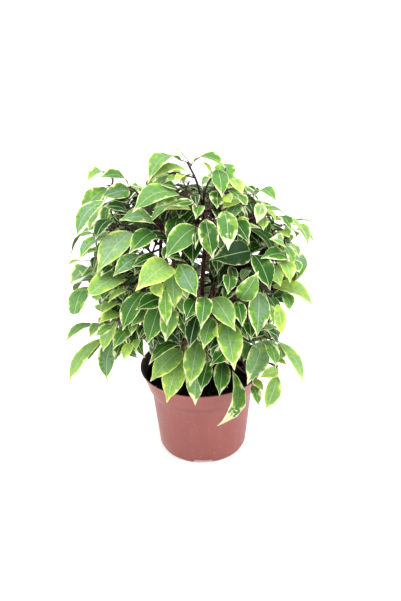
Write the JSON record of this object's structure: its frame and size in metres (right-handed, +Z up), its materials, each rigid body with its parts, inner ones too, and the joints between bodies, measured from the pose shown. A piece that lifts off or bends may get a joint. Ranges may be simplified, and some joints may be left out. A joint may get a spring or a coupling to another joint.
{
  "type": "potted weeping fig",
  "caption": "Young weeping fig with a dense dome of drooping, cream-edged green leaves, in a flared terracotta-coloured plastic nursery pot with a notched foot.",
  "frame": {"origin": "middle of the pot's underside, on the surface that the pot stands on", "axes": "+Z up, along the pot's axis; -Y towards the viewer of the picture, +X to the viewer's right"},
  "size_m": [0.2279, 0.2275, 0.3077],
  "materials": {
    "pot_plastic": "satin",
    "potting_soil": "matte",
    "bark": "matte",
    "leaf": "satin"
  },
  "bodies": {
    "root": {"pot": "pot_plastic", "shoot_back_01": "leaf", "shoot_back_02": "leaf", "shoot_back_03": "leaf", "shoot_back_04": "leaf", "shoot_back_05": "leaf", "shoot_back_06": "leaf", "shoot_back_07": "leaf", "shoot_back_08": "leaf", "shoot_back_09": "leaf", "shoot_back_10": "leaf", "shoot_back_11": "leaf", "shoot_back_12": "leaf", "shoot_back_13": "leaf", "shoot_back_14": "leaf", "shoot_back_15": "leaf", "shoot_back_16": "leaf", "shoot_centre_hang": "leaf", "shoot_centre_left": "leaf", "shoot_centre_right": "leaf", "shoot_centre_top": "leaf", "shoot_crown_lime": "leaf", "shoot_crown_right": "leaf", "shoot_crown_top": "leaf", "shoot_front_centre": "leaf", "shoot_front_curl": "leaf", "shoot_front_left": "leaf", "shoot_front_right": "leaf", "shoot_inner_01": "leaf", "shoot_inner_02": "leaf", "shoot_inner_03": "leaf", "shoot_inner_04": "leaf", "shoot_left_big": "leaf", "shoot_left_broad": "leaf", "shoot_left_edge": "leaf", "shoot_left_far": "leaf", "shoot_left_inner": "leaf", "shoot_left_low": "leaf", "shoot_left_mid": "leaf", "shoot_left_outer": "leaf", "shoot_left_reach": "leaf", "shoot_left_skirt": "leaf", "shoot_left_top": "leaf", "shoot_low_centre": "leaf", "shoot_low_middle": "leaf", "shoot_right_front": "leaf", "shoot_right_hang": "leaf", "shoot_right_low": "leaf", "shoot_right_middle": "leaf", "shoot_right_reach": "leaf", "shoot_right_shoulder": "leaf", "shoot_right_skirt": "leaf", "shoot_right_tail": "leaf", "shoot_right_upper": "leaf", "soil": "potting_soil", "stem_back": "bark", "stem_left": "bark", "stem_main": "bark", "stem_right": "bark"}
  },
  "joints": []
}
